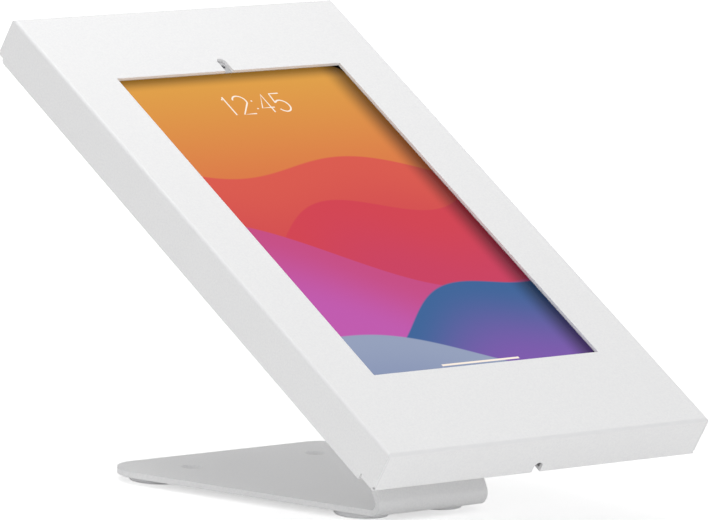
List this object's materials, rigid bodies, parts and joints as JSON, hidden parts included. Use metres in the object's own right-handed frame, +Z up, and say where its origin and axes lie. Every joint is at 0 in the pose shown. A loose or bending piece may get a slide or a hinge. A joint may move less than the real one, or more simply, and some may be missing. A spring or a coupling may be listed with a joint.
{
  "type": "tablet security kiosk stand",
  "caption": "Lockable sheet-metal tablet enclosure with a hinged front cover, held face-up on a bent plate stand with a splayed base and rubber feet.",
  "frame": {"origin": "on the table surface, under the middle of the whole object's box", "axes": "+X across the face to the viewer's right, +Y towards the back, +Z up"},
  "size_m": [0.2, 0.2956, 0.2165],
  "materials": {
    "powder_coat": "fine matt powder coat, white",
    "foot_rubber": "matt light grey rubber",
    "zinc_steel": "zinc-plated steel",
    "lock_metal": "nickel-plated lock",
    "black_foam": "closed-cell foam",
    "white_foam": "thin white foam tape",
    "stop_plastic": "moulded black plastic",
    "tablet_metal": "bead-blasted anodised aluminium",
    "front_glass": "black-bordered cover glass over the lit display",
    "display_panel": "lit display panel",
    "cell_wrap": "wrapped battery cells",
    "circuit_board": "solder-masked board",
    "lens": "camera lens"
  },
  "bodies": {
    "stand": {"stand_plate": "powder_coat", "rubber_feet": "foot_rubber", "mount_screws": "zinc_steel", "mount_nuts": "zinc_steel", "back_plate": "powder_coat", "tablet_cradle": "zinc_steel", "cradle_screws": "zinc_steel", "foam_pads": "black_foam", "corner_stops": "stop_plastic", "hinge_brackets": "zinc_steel", "hinge_pins": "zinc_steel", "lock_body": "lock_metal", "lock_nut": "lock_metal", "tablet_shell": "tablet_metal", "tablet_glass": "front_glass", "tablet_display": "display_panel", "tablet_battery": "cell_wrap", "tablet_board": "circuit_board", "front_camera": "lens", "rear_camera": "tablet_metal", "charging_port": "tablet_metal"},
    "cover": {"front_cover": "powder_coat", "window_gasket": "white_foam", "cover_hinge_lugs": "zinc_steel", "lock_catch": "zinc_steel"},
    "lock_core": {"lock_plug": "lock_metal", "lock_cam": "lock_metal", "lock_cam_screw": "lock_metal"},
    "power_key": {"power_button": "tablet_metal"},
    "volume_up_key": {"volume_up_button": "tablet_metal"},
    "volume_down_key": {"volume_down_button": "tablet_metal"}
  },
  "joints": [
    {"name": "cover_hinge", "type": "hinge", "parent": "stand", "child": "cover", "pos_m": [0, -0.13279, 0.04103], "axis": [1, 0, 0], "range_deg": [0, 90]},
    {"name": "lock_turn", "type": "hinge", "parent": "stand", "child": "lock_core", "pos_m": [0, 0.12653, 0.18787], "axis": [0, -0.5, 0.866], "range_deg": [0, 90]},
    {"name": "power_press", "type": "slide", "parent": "stand", "child": "power_key", "axis": [0, -0.866, -0.5], "range_m": [0, 0.00035], "stiffness_N_per_m": 3000},
    {"name": "volume_up_press", "type": "slide", "parent": "stand", "child": "volume_up_key", "axis": [0, -0.866, -0.5], "range_m": [0, 0.00035], "stiffness_N_per_m": 3000},
    {"name": "volume_down_press", "type": "slide", "parent": "stand", "child": "volume_down_key", "axis": [0, -0.866, -0.5], "range_m": [0, 0.00035], "stiffness_N_per_m": 3000}
  ]
}
